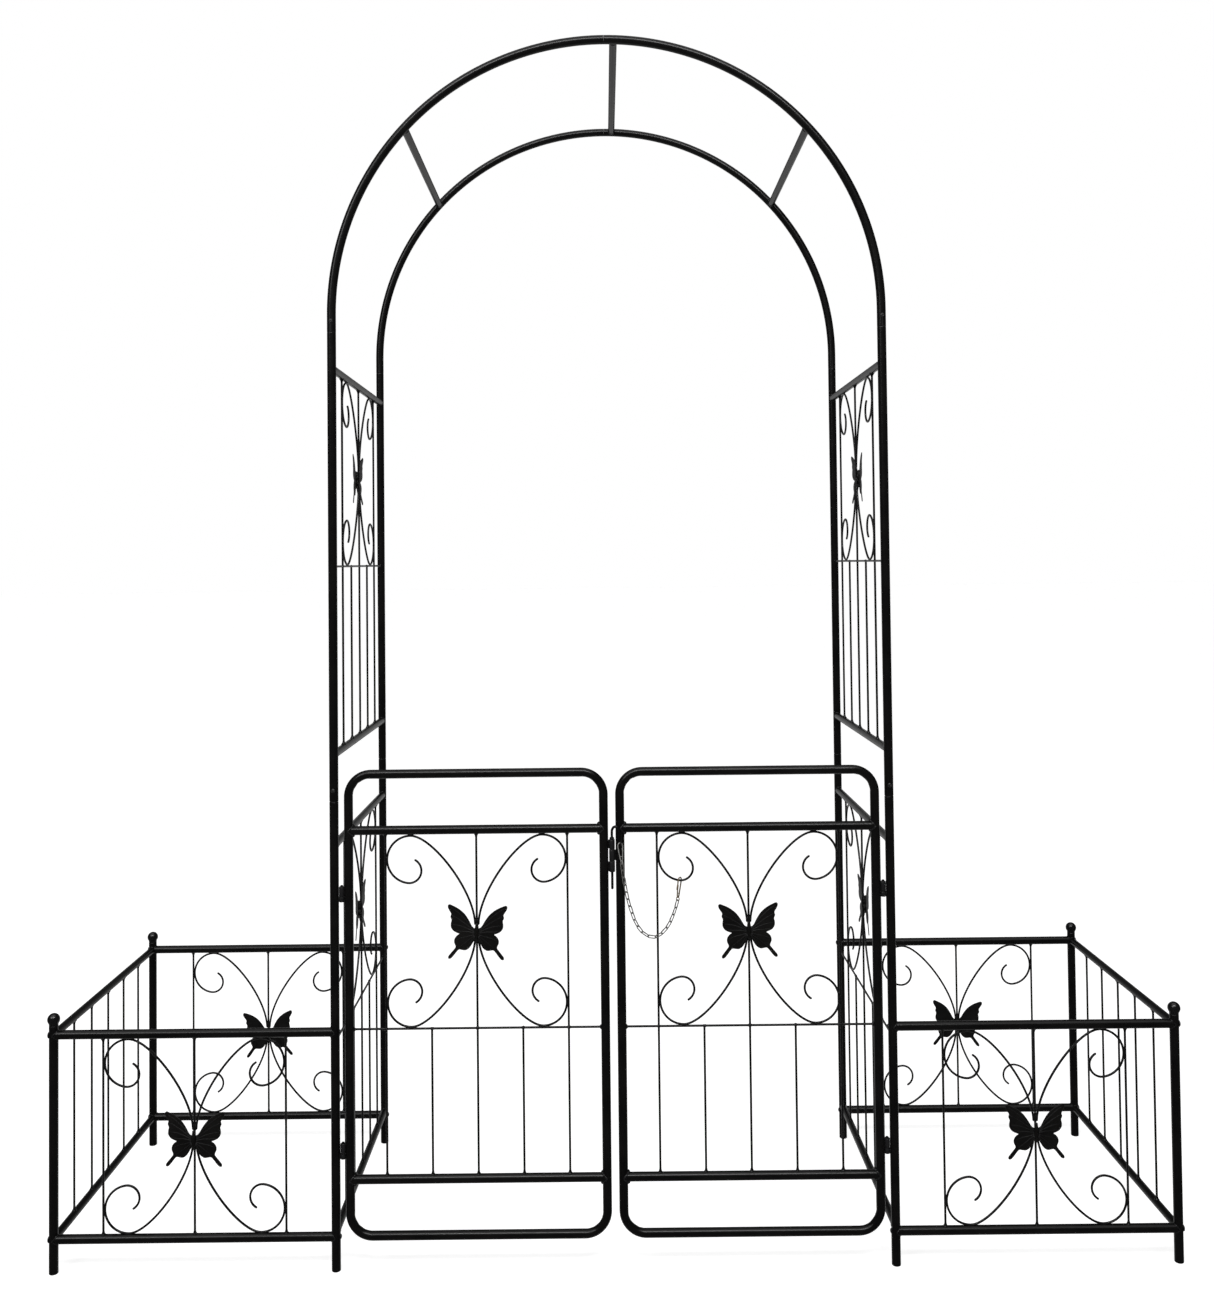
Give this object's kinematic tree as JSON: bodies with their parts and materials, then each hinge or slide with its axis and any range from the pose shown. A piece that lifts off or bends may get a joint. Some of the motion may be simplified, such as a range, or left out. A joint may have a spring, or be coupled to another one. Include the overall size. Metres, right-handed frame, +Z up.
{
  "type": "garden arch",
  "caption": "Metal garden arch of round tubes with scroll and butterfly side walls, a hinged double gate with a chained drop pin, and an open planter frame at each side.",
  "frame": {"origin": "on the ground, in the middle of the arch between the front and rear posts", "axes": "+X to the right seen from the front, +Y from the gate towards the back, +Z up"},
  "size_m": [2.0116, 0.5264, 2.2],
  "materials": {
    "powder_coat": "satin black powder coat on steel tube and rod",
    "butterfly_coat": "satin black powder coat on pressed sheet steel",
    "finial_black": "smooth satin black",
    "screw_black": "black coated steel screws",
    "zinc_steel": "bright zinc plated wire links",
    "brass_clip": "yellow zinc or brass plated clip"
  },
  "bodies": {
    "root": {"lower_post_front_left": "powder_coat", "upper_post_front_left": "powder_coat", "arch_tube_front_left": "powder_coat", "post_joint_screw_front_left": "screw_black", "lower_post_front_right": "powder_coat", "upper_post_front_right": "powder_coat", "arch_tube_front_right": "powder_coat", "post_joint_screw_front_right": "screw_black", "lower_post_rear_left": "powder_coat", "upper_post_rear_left": "powder_coat", "arch_tube_rear_left": "powder_coat", "post_joint_screw_rear_left": "screw_black", "lower_post_rear_right": "powder_coat", "upper_post_rear_right": "powder_coat", "arch_tube_rear_right": "powder_coat", "post_joint_screw_rear_right": "screw_black", "cross_bar_left": "powder_coat", "cross_bar_top": "powder_coat", "cross_bar_right": "powder_coat", "side_wall_upper_left": "powder_coat", "side_butterfly_upper_left": "butterfly_coat", "side_wall_lower_left": "powder_coat", "side_butterfly_lower_left": "butterfly_coat", "side_wall_upper_right": "powder_coat", "side_butterfly_upper_right": "butterfly_coat", "side_wall_lower_right": "powder_coat", "side_butterfly_lower_right": "butterfly_coat", "planter_end_panel_left": "powder_coat", "planter_post_front_left": "powder_coat", "planter_finial_front_left": "finial_black", "planter_panel_front_left": "powder_coat", "planter_butterfly_front_left": "butterfly_coat", "planter_post_rear_left": "powder_coat", "planter_finial_rear_left": "finial_black", "planter_panel_rear_left": "powder_coat", "planter_butterfly_rear_left": "butterfly_coat", "planter_end_panel_right": "powder_coat", "planter_post_front_right": "powder_coat", "planter_finial_front_right": "finial_black", "planter_panel_front_right": "powder_coat", "planter_butterfly_front_right": "butterfly_coat", "planter_post_rear_right": "powder_coat", "planter_finial_rear_right": "finial_black", "planter_panel_rear_right": "powder_coat", "planter_butterfly_rear_right": "butterfly_coat", "hinge_pintle_lower_left": "powder_coat", "hinge_pintle_upper_left": "powder_coat", "hinge_pintle_lower_right": "powder_coat", "hinge_pintle_upper_right": "powder_coat"},
    "left_gate": {"gate_frame_left": "powder_coat", "gate_infill_left": "powder_coat", "gate_butterfly_left": "butterfly_coat"},
    "right_gate": {"gate_frame_right": "powder_coat", "gate_infill_right": "powder_coat", "gate_butterfly_right": "butterfly_coat", "latch_chain": "zinc_steel", "chain_end_clip": "brass_clip"},
    "latch_pin": {"latch_pin": "powder_coat", "chain_snap_hook": "zinc_steel"}
  },
  "joints": [
    {"name": "left_gate_hinge", "type": "hinge", "parent": "root", "child": "left_gate", "pos_m": [-0.482, -0.25, 0.45], "axis": [0, 0, -1], "range_deg": [-75, 100]},
    {"name": "right_gate_hinge", "type": "hinge", "parent": "root", "child": "right_gate", "pos_m": [0.482, -0.25, 0.45], "axis": [0, 0, 1], "range_deg": [-75, 100]},
    {"name": "latch_pin_lift", "type": "slide", "parent": "right_gate", "child": "latch_pin", "axis": [0, 0, 1], "range_m": [0, 0.09], "deforming": ["latch_chain"]}
  ]
}
